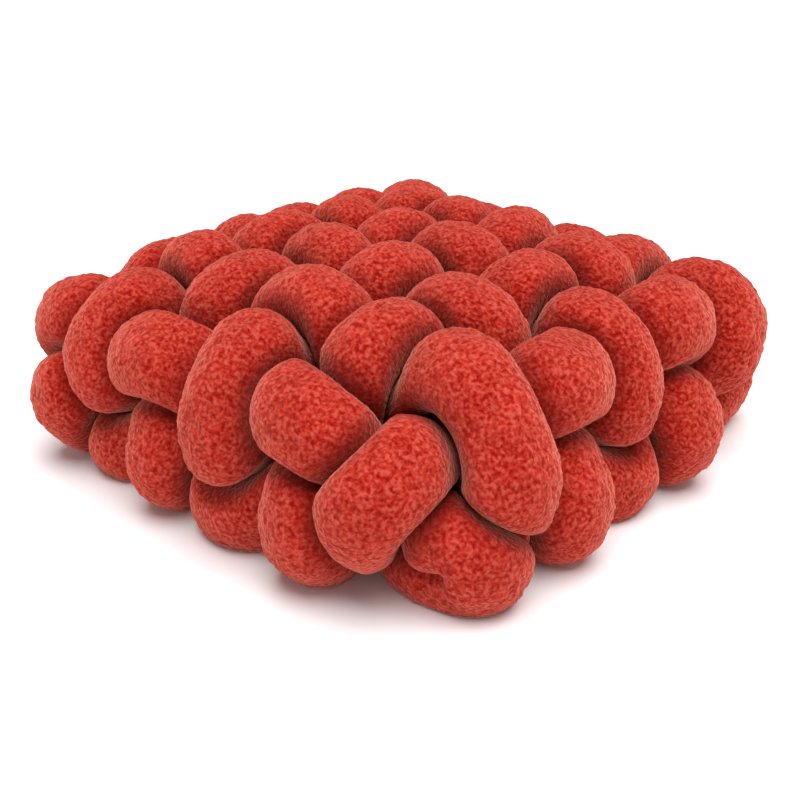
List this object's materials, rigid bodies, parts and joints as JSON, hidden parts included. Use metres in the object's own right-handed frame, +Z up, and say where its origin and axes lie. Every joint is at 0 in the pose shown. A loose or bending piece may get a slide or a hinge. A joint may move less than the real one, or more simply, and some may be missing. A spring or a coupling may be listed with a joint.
{
  "type": "knot cushion",
  "caption": "Square seat or floor cushion woven over and under from plump stuffed tubes of coral-red teddy fleece.",
  "frame": {"origin": "centre of the bounding box on the resting surface", "axes": "+Z up, the cushion lying flat; tubes a run along Y and tubes b along X; the pictured corner is at +X, -Y"},
  "size_m": [0.4434, 0.4613, 0.1699],
  "materials": {
    "fleece": "matt curly pile"
  },
  "bodies": {
    "root": {"tube_a_1": "fleece", "tube_a_2": "fleece", "tube_a_3": "fleece", "tube_a_4": "fleece", "tube_a_5": "fleece", "tube_a_6": "fleece", "tube_b_1": "fleece", "tube_b_2": "fleece", "tube_b_3": "fleece", "tube_b_4": "fleece", "tube_b_5": "fleece", "tube_b_6": "fleece"}
  },
  "joints": []
}
